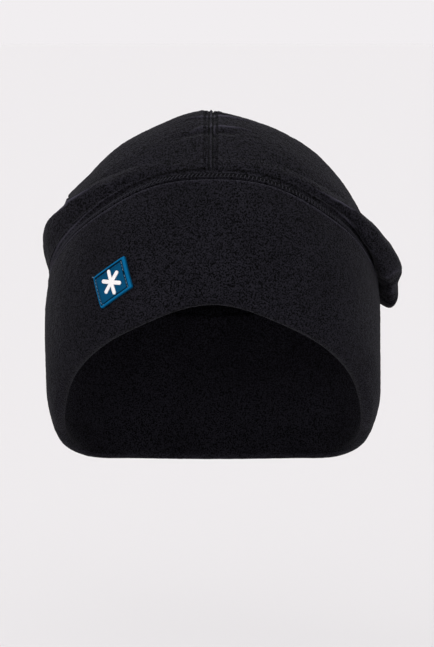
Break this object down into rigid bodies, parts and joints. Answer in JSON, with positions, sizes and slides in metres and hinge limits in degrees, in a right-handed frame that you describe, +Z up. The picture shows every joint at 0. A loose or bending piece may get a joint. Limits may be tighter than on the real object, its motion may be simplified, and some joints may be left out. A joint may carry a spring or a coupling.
{
  "type": "fleece beanie",
  "caption": "Soft fleece beanie in its worn shape, with a deep turned band, a puffed two-panel crown and a small moulded label.",
  "frame": {"origin": "inside the hat, at the middle of a wearer's head, 19 mm below the lowest place of the rim at the forehead", "axes": "+Z up towards the top of the head, -Y to the front, +X towards the wearer's left"},
  "size_m": [0.1924, 0.2195, 0.199],
  "materials": {
    "fleece": "matt near-black polyester fleece with a short brushed nap",
    "label_rubber": "moulded blue rubber, satin",
    "mark_rubber": "moulded white rubber, satin"
  },
  "bodies": {
    "root": {"band": "fleece", "crown_left": "fleece", "crown_right": "fleece", "label": "label_rubber", "label_mark": "mark_rubber"}
  },
  "joints": []
}
